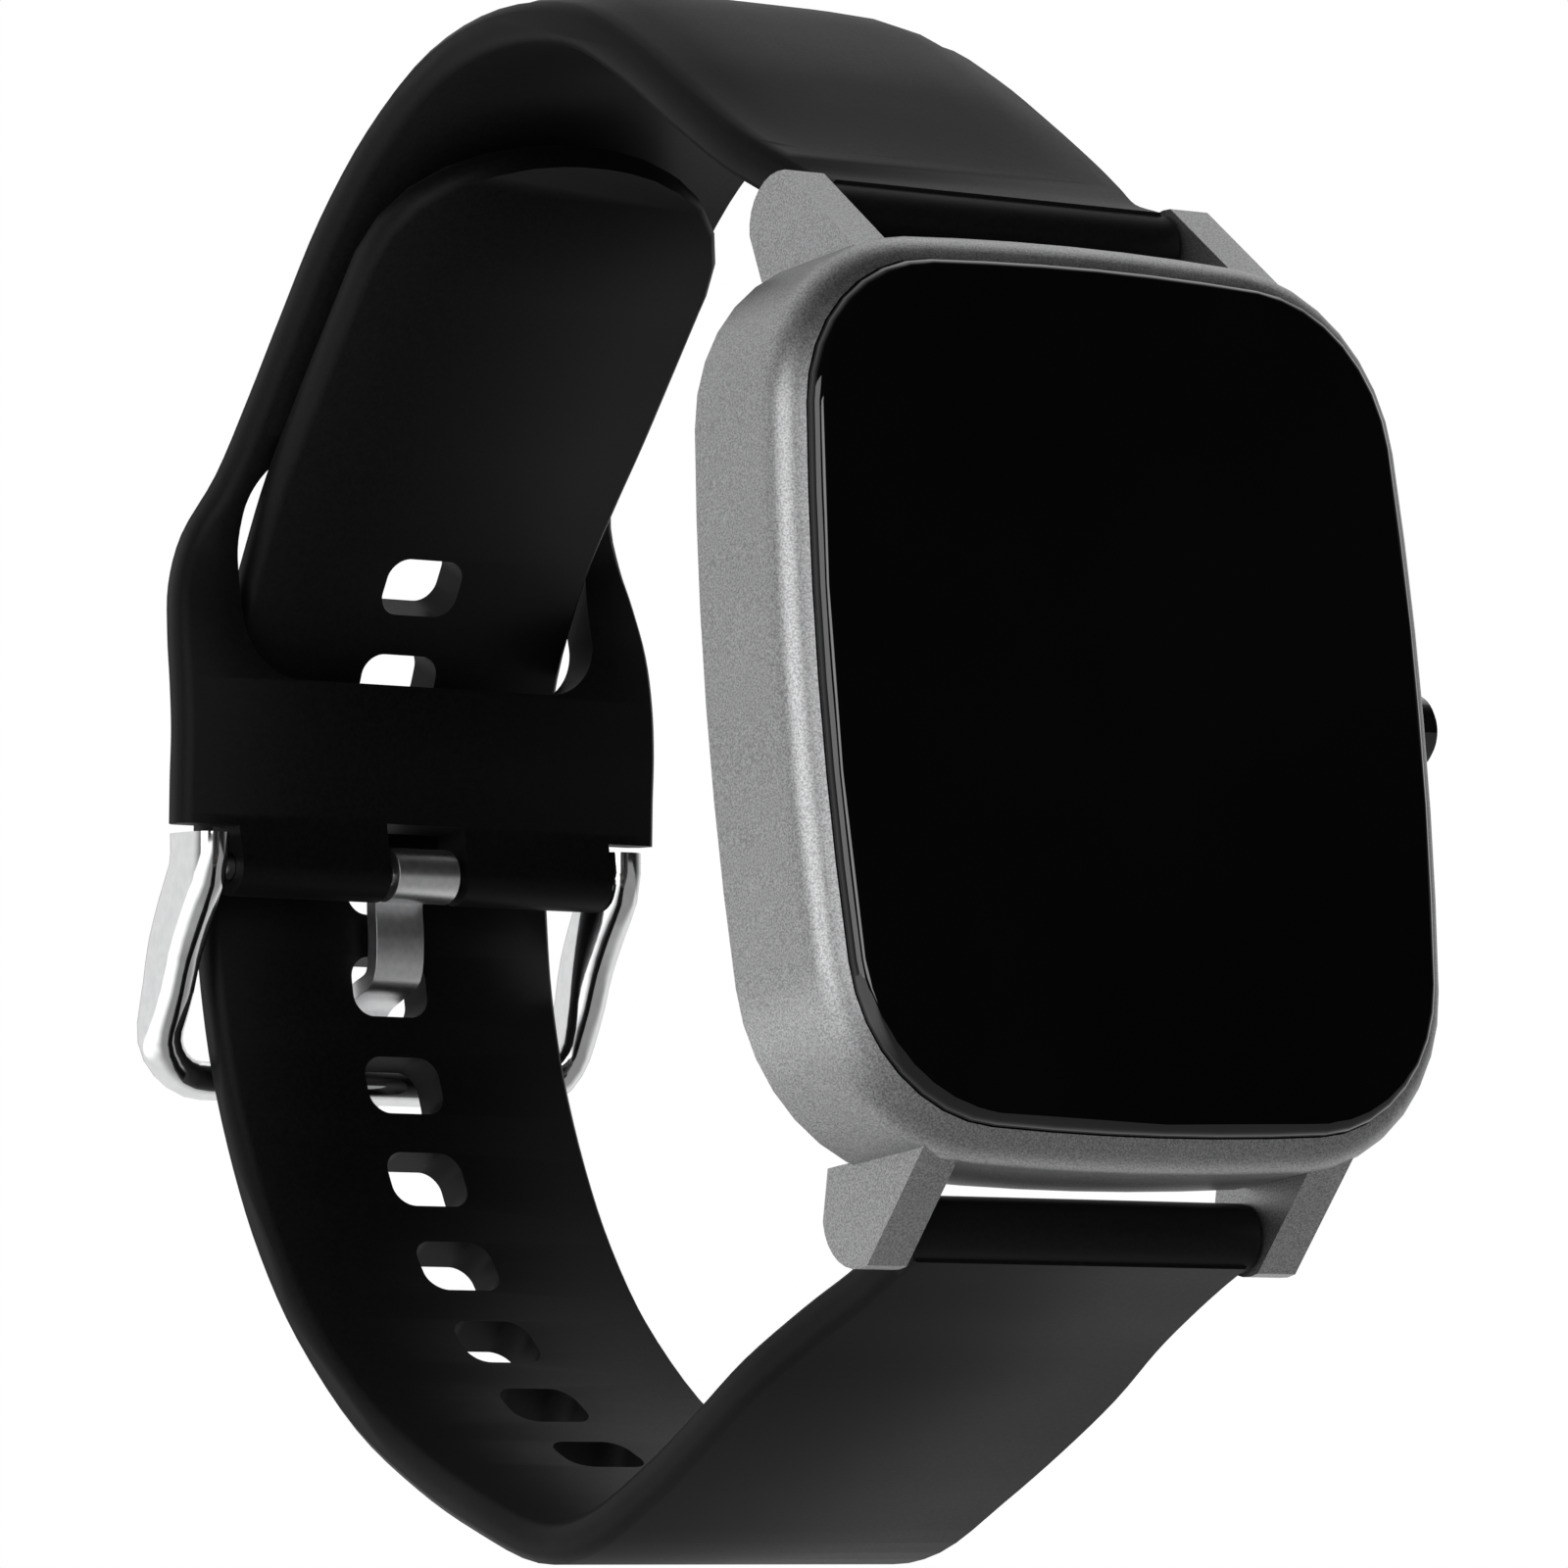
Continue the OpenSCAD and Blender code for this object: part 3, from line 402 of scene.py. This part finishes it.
def finish(name):
    """Build one of the finishes in the table, or return it if it's there already."""
    label = name + "_finish"
    if label in bpy.data.materials:
        made = bpy.data.materials[label]
        if made.get("finished"):
            return made
    spec = FINISHES[name]
    made = bpy.data.materials.new(label)
    made["finished"] = True
    made.use_nodes = True
    tree = made.node_tree
    shader = tree.nodes["Principled BSDF"]
    link = tree.links.new
    place = tree.nodes.new("ShaderNodeTexCoord")
    grain = tree.nodes.new("ShaderNodeGroup")
    grain.node_tree = grain_group()
    grain.inputs["Scale"].default_value = spec["grain"]
    grain.inputs["Detail"].default_value = spec["detail"]
    marks = tree.nodes.new("ShaderNodeGroup")
    marks.node_tree = handling_group()
    marks.inputs["Amount"].default_value = spec["marks"]
    link(place.outputs["Object"], grain.inputs["Vector"])
    link(place.outputs["Object"], marks.inputs["Vector"])
    tint = tree.nodes.new("ShaderNodeMix")
    tint.data_type = "RGBA"
    tint.inputs["A"].default_value = (*spec["dark"], 1)
    tint.inputs["B"].default_value = (*spec["light"], 1)
    link(grain.outputs["Value"], tint.inputs["Factor"])
    worn = tree.nodes.new("ShaderNodeMix")
    worn.data_type = "RGBA"
    worn.inputs["B"].default_value = (*spec["light"], 1)
    link(marks.outputs["Patch"], worn.inputs["Factor"])
    link(tint.outputs["Result"], worn.inputs["A"])
    link(worn.outputs["Result"], shader.inputs["Base Color"])
    rough = tree.nodes.new("ShaderNodeMapRange")
    rough.inputs["To Min"].default_value = spec["rough"][0]
    rough.inputs["To Max"].default_value = spec["rough"][1]
    both = tree.nodes.new("ShaderNodeMath")
    both.operation = "ADD"
    both.use_clamp = True
    link(grain.outputs["Height"], both.inputs[0])
    link(marks.outputs["Patch"], both.inputs[1])
    link(both.outputs["Value"], rough.inputs["Value"])
    link(rough.outputs["Result"], shader.inputs["Roughness"])
    if spec["bump"] > 0:
        bump = tree.nodes.new("ShaderNodeBump")
        bump.inputs["Strength"].default_value = spec["bump"]
        bump.inputs["Distance"].default_value = spec["depth"]
        link(grain.outputs["Height"], bump.inputs["Height"])
        link(bump.outputs["Normal"], shader.inputs["Normal"])
    for socket, value in spec["even"].items():
        shader.inputs[socket].default_value = value
    return made


# ---------------------------------------------------------------- sizes and settings


def edge_width(what, width):
    """A setting for how wide a piece's softened edges are."""
    return bpy.props.FloatProperty(
        name="Edge softening", description=f"Width of the softened {what} edges",
        default=width, unit="LENGTH",
    )


def crease_angle(turn):
    """A setting for the turn past which a piece's edges stay crisp."""
    return bpy.props.FloatProperty(
        name="Crease angle", description="Edges that turn more than this stay crisp",
        default=turn, min=5.0, max=90.0,
    )


class CaseSettings(bpy.types.PropertyGroup):
    edge: edge_width("case", 0.00010)
    turn: crease_angle(28.0)


class StrapSettings(bpy.types.PropertyGroup):
    turn: crease_angle(58.0)


class BuckleSettings(bpy.types.PropertyGroup):
    edge: edge_width("tongue", 0.00014)
    turn: crease_angle(38.0)


class StageSettings(bpy.types.PropertyGroup):
    azimuth: bpy.props.FloatProperty(
        name="Azimuth", description="Camera's turn about the upright axis",
        default=math.radians(-36.986), subtype="ANGLE",
    )
    elevation: bpy.props.FloatProperty(
        name="Elevation", description="Camera's height above the horizon",
        default=math.radians(-10.058), subtype="ANGLE",
    )
    roll: bpy.props.FloatProperty(
        name="Roll", description="Camera's turn about its own line of sight",
        default=math.radians(-4.247), subtype="ANGLE",
    )
    distance: bpy.props.FloatProperty(
        name="Distance", description="From the camera to the plane through the case",
        default=0.450115, unit="LENGTH",
    )
    across: bpy.props.FloatProperty(
        name="Across", description="Camera's step to its own right",
        default=-0.009719, unit="LENGTH",
    )
    up: bpy.props.FloatProperty(
        name="Up", description="Camera's step upwards in its own view",
        default=-0.002041, unit="LENGTH",
    )
    lens: bpy.props.FloatProperty(
        name="Lens", description="Focal length in millimetres",
        default=226.95, subtype="DISTANCE_CAMERA",
    )
    floor_drop: bpy.props.FloatProperty(
        name="Floor drop", description="From the watch's lowest point down to the floor",
        default=0.075, unit="LENGTH",
    )
    floor_size: bpy.props.FloatProperty(
        name="Floor size", description="Length of each side of the floor",
        default=1.6, unit="LENGTH",
    )
    floor_lift: bpy.props.FloatProperty(
        name="Floor lift", description="Light added to the floor so that it stays pale",
        default=0.45, min=0.0, max=2.0,
    )
    front_level: bpy.props.FloatProperty(
        name="Front level", description="Brightness of the room in front of the dial",
        default=0.012, min=0.0, max=5.0,
    )
    back_level: bpy.props.FloatProperty(
        name="Back level", description="Brightness of the pale backdrop behind the watch",
        default=0.75, min=0.0, max=5.0,
    )


# ---------------------------------------------------------------- operators


class WATCH_OT_case(bpy.types.Operator):
    """Finish the metal case, its front glass and its rear cover"""

    bl_idname = "watch.case"
    bl_label = "Case and glass"

    def execute(self, context):
        size = context.scene.watch_case
        case = node_copy("case_frame", "case_body")
        soften(case, size.edge, 2, CASE_BEVEL_TURN)
        smooth(case, size.turn)
        stand_for(case, "case_frame", finish("case_metal"))
        glass = node_copy("cover_glass", "domed_glass")
        smooth(glass, GLASS_TURN)
        stand_for(glass, "cover_glass", finish("front_glass"))
        cover = node_copy("rear_cover", "back_cover")
        smooth(cover, size.turn)
        stand_for(cover, "rear_cover", finish("rear_plastic"))
        window = node_copy("sensor_window", "sensor_lens")
        smooth(window, size.turn)
        stand_for(window, "sensor_window", finish("window_plastic"))
        for node, look in (
            ("glass_adhesive", "adhesive"),
            ("rear_gasket", "seal_rubber"),
            ("rear_cover_screws", "screw_steel"),
            ("charging_contacts", "contact_gold"),
        ):
            dress(node, finish(look))
        return {"FINISHED"}


class WATCH_OT_inside(bpy.types.Operator):
    """Finish the parts inside the case"""

    bl_idname = "watch.inside"
    bl_label = "Inner parts"

    def execute(self, context):
        for node, look in (
            ("display_panel", "display"),
            ("display_flex", "flex_film"),
            ("sensor_board", "board_green"),
            ("sensor_chips", "chip_clear"),
            ("inner_frame", "inner_plastic"),
            ("battery", "battery_can"),
            ("main_board", "board_green"),
            ("board_chips", "chip_black"),
            ("board_shield", "shield_steel"),
            ("vibration_motor", "motor_steel"),
            ("antenna_strip", "flex_film"),
            ("button_switch", "chip_black"),
            ("switch_board", "board_green"),
        ):
            dress(node, finish(look))
        return {"FINISHED"}


class WATCH_OT_button(bpy.types.Operator):
    """Finish the side button and the parts that work it"""

    bl_idname = "watch.button"
    bl_label = "Side button"

    def execute(self, context):
        cap = node_copy("side_button", "button_cap")
        smooth(cap, BUTTON_TURN)
        stand_for(cap, "side_button", finish("button_gloss"))
        for node, look in (
            ("button_seal", "seal_rubber"),
            ("button_clip", "spring_steel"),
            ("switch_plunger", "chip_clear"),
        ):
            dress(node, finish(look))
        return {"FINISHED"}


class WATCH_OT_spring_bars(bpy.types.Operator):
    """Finish the two spring bars between the lugs, each spring cut in two at its middle"""

    bl_idname = "watch.spring_bars"
    bl_label = "Spring bars"

    def execute(self, context):
        for end in ("upper", "lower"):
            for part in ("tube", "tip_left", "tip_right"):
                dress(f"{end}_bar_{part}", finish("bar_steel"))
            for side, outwards in (("left", -1), ("right", 1)):
                self.half_spring(end, side, outwards)
        return {"FINISHED"}

    def half_spring(self, end, side, outwards):
        """One half of a spring, cut off at the spring's middle and closed over the cut."""
        node = f"{end}_bar_spring"
        low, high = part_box(node)
        middle = (Vector(low) + Vector(high)) / 2
        half = node_copy(node, f"{end}_spring_{side}_half", merge_flats=False)
        edit(half)
        bpy.ops.mesh.bisect(
            plane_co=middle,
            plane_no=(outwards, 0.0, 0.0),
            use_fill=True,
            clear_inner=True,
        )
        leave_edit()
        smooth(half, SPRING_TURN, weigh=False)
        stand_for(half, node, finish("spring_steel"))
        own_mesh(half)


class WATCH_OT_straps(bpy.types.Operator):
    """Finish both halves of the strap"""

    bl_idname = "watch.straps"
    bl_label = "Straps"

    def execute(self, context):
        size = context.scene.watch_strap
        for node, name in (("short_strap", "strap_buckle_half"), ("long_strap", "strap_hole_half")):
            half = node_copy(node, name)
            smooth(half, size.turn, weigh=False)
            stand_for(half, node, finish("strap_silicone"))
        return {"FINISHED"}


class WATCH_OT_buckle(bpy.types.Operator):
    """Finish the buckle, its pin and its tongue"""

    bl_idname = "watch.buckle"
    bl_label = "Buckle"

    def execute(self, context):
        size = context.scene.watch_buckle
        ring = node_copy("buckle_frame", "buckle_ring")
        smooth(ring, size.turn, weigh=False)
        stand_for(ring, "buckle_frame", finish("buckle_chrome"))
        tongue = node_copy("buckle_tongue", "buckle_prong")
        soften(tongue, size.edge, 3, TONGUE_BEVEL_TURN)
        smooth(tongue, size.turn)
        stand_for(tongue, "buckle_tongue", finish("tongue_satin"))
        pin = node_copy("buckle_pin", "buckle_axle")
        smooth(pin, size.turn)
        stand_for(pin, "buckle_pin", finish("pin_steel"))
        return {"FINISHED"}


class WATCH_OT_stage(bpy.types.Operator):
    """Lay the floor, light the watch and place the camera"""

    bl_idname = "watch.stage"
    bl_label = "Stage and camera"

    # Name, direction from the watch, distance, side of the square, power in watts.
    LIGHTS = (
        ("key_light", (-0.80, -0.58, 0.14), 0.9, 0.7, 3.6),
        ("front_light", (-0.10, -1.0, 0.12), 0.9, 0.3, 1.05),
        ("top_light", (0.55, 0.15, 0.85), 0.9, 0.5, 0.32),
    )

    def execute(self, context):
        scene = context.scene
        size = scene.watch_stage
        low, high = CAD_BOX
        centre = (low + high) / 2
        scene.view_settings.view_transform = "Standard"
        bpy.ops.object.select_all(action="DESELECT")
        bpy.ops.mesh.primitive_plane_add(
            size=size.floor_size, location=(centre.x, centre.y, low.z - size.floor_drop)
        )
        floor = context.active_object
        floor.name = "studio_floor"
        paper = finish("floor_paper")
        floor.data.materials.append(paper)
        self.shade_floor(paper, size)
        for name, way, far, side, power in self.LIGHTS:
            lamp = bpy.data.lights.new(name, "AREA")
            lamp.size = side
            lamp.energy = power
            stand = bpy.data.objects.new(name, lamp)
            scene.collection.objects.link(stand)
            towards = Vector(way).normalized()
            stand.location = centre + towards * far
            stand.rotation_mode = "QUATERNION"
            stand.rotation_quaternion = (-towards).to_track_quat("-Z", "Y")
            stand.visible_camera = False
        self.room(scene, size)
        self.camera(scene, size)
        return {"FINISHED"}

    def shade_floor(self, paper, size):
        """The floor is pale to the eye, and dimmer in front where the metal mirrors it."""
        tree = paper.node_tree
        link = tree.links.new
        leave = tree.nodes["Material Output"]
        shader = tree.nodes["Principled BSDF"]
        shader.inputs["Emission Color"].default_value = (1, 1, 1, 1)
        shader.inputs["Emission Strength"].default_value = size.floor_lift
        place = tree.nodes.new("ShaderNodeTexCoord")
        parts = tree.nodes.new("ShaderNodeSeparateXYZ")
        back = rise(tree, FLOOR_RISE, FLOOR_FRONT_GLOW, size.back_level)
        side = rise(tree, FLOOR_SIDE_RISE, 0.0, FLOOR_SIDE_GLOW)
        brighter = tree.nodes.new("ShaderNodeMath")
        brighter.operation = "MAXIMUM"
        glow = tree.nodes.new("ShaderNodeEmission")
        path = tree.nodes.new("ShaderNodeLightPath")
        choose = tree.nodes.new("ShaderNodeMixShader")
        link(place.outputs["Object"], parts.inputs["Vector"])
        link(parts.outputs["Y"], back.inputs["Value"])
        link(parts.outputs["X"], side.inputs["Value"])
        link(back.outputs["Result"], brighter.inputs[0])
        link(side.outputs["Result"], brighter.inputs[1])
        link(brighter.outputs["Value"], glow.inputs["Strength"])
        link(path.outputs["Is Camera Ray"], choose.inputs[0])
        link(glow.outputs[0], choose.inputs[1])
        link(shader.outputs[0], choose.inputs[2])
        link(choose.outputs[0], leave.inputs["Surface"])

    def room(self, scene, size):
        """A pale backdrop behind the watch and a dimmer room in front of it."""
        world = bpy.data.worlds.new("studio_room")
        scene.world = world
        world.use_nodes = True
        tree = world.node_tree
        tree.nodes.clear()
        link = tree.links.new
        place = tree.nodes.new("ShaderNodeTexCoord")
        parts = tree.nodes.new("ShaderNodeSeparateXYZ")
        fade = rise(tree, ROOM_RISE, size.front_level, size.back_level)
        room = tree.nodes.new("ShaderNodeBackground")
        seen = tree.nodes.new("ShaderNodeBackground")
        path = tree.nodes.new("ShaderNodeLightPath")
        choose = tree.nodes.new("ShaderNodeMixShader")
        leave = tree.nodes.new("ShaderNodeOutputWorld")
        link(place.outputs["Generated"], parts.inputs["Vector"])
        link(parts.outputs["Y"], fade.inputs["Value"])
        link(fade.outputs["Result"], room.inputs["Strength"])
        room.inputs["Color"].default_value = (1, 1, 1, 1)
        seen.inputs["Color"].default_value = (1, 1, 1, 1)
        link(path.outputs["Is Camera Ray"], choose.inputs[0])
        link(room.outputs[0], choose.inputs[1])
        link(seen.outputs[0], choose.inputs[2])
        link(choose.outputs[0], leave.inputs["Surface"])

    def camera(self, scene, size):
        """The camera looks up at the dial from the left, a little below the watch."""
        turn, lift, roll = size.azimuth, size.elevation, size.roll
        back = Vector(
            (math.sin(turn) * math.cos(lift), -math.cos(turn) * math.cos(lift), math.sin(lift))
        )
        right = Vector((math.cos(turn), math.sin(turn), 0.0))
        over = back.cross(right)
        across = right * math.cos(roll) + over * math.sin(roll)
        upwards = over * math.cos(roll) - right * math.sin(roll)
        place = back * size.distance + across * size.across + upwards * size.up
        lens = bpy.data.cameras.new("studio_camera")
        lens.lens = size.lens
        lens.sensor_width = SENSOR_WIDTH
        lens.clip_start, lens.clip_end = CLIP_NEAR, CLIP_FAR
        eye = bpy.data.objects.new("studio_camera", lens)
        scene.collection.objects.link(eye)
        turned = Matrix((across, upwards, back)).transposed().to_4x4()
        eye.matrix_world = Matrix.Translation(place) @ turned
        scene.camera = eye


class WATCH_PT_panel(bpy.types.Panel):
    """Lists the watch's operators"""

    bl_idname = "WATCH_PT_panel"
    bl_label = "Watch"
    bl_space_type = "VIEW_3D"
    bl_region_type = "UI"
    bl_category = "Watch"

    def draw(self, context):
        for step in STEPS:
            self.layout.operator(step.bl_idname)
        for group in SETTINGS:
            settings = getattr(context.scene, group)
            for name in settings.bl_rna.properties.keys():
                if name not in {"name", "rna_type"}:
                    self.layout.prop(settings, name)


STEPS = (
    WATCH_OT_stage,
    WATCH_OT_case,
    WATCH_OT_inside,
    WATCH_OT_button,
    WATCH_OT_spring_bars,
    WATCH_OT_straps,
    WATCH_OT_buckle,
)
SETTINGS = {
    "watch_case": CaseSettings,
    "watch_strap": StrapSettings,
    "watch_buckle": BuckleSettings,
    "watch_stage": StageSettings,
}
CLASSES = (*SETTINGS.values(), *STEPS, WATCH_PT_panel)


def register():
    for cls in CLASSES:
        bpy.utils.register_class(cls)
    for name, group in SETTINGS.items():
        setattr(bpy.types.Scene, name, bpy.props.PointerProperty(type=group))


def unregister():
    for name in SETTINGS:
        delattr(bpy.types.Scene, name)
    for cls in reversed(CLASSES):
        bpy.utils.unregister_class(cls)


def main():
    register()
    for step in STEPS:
        family, label = step.bl_idname.split(".")
        getattr(getattr(bpy.ops, family), label)()


if __name__ == "__main__":
    main()
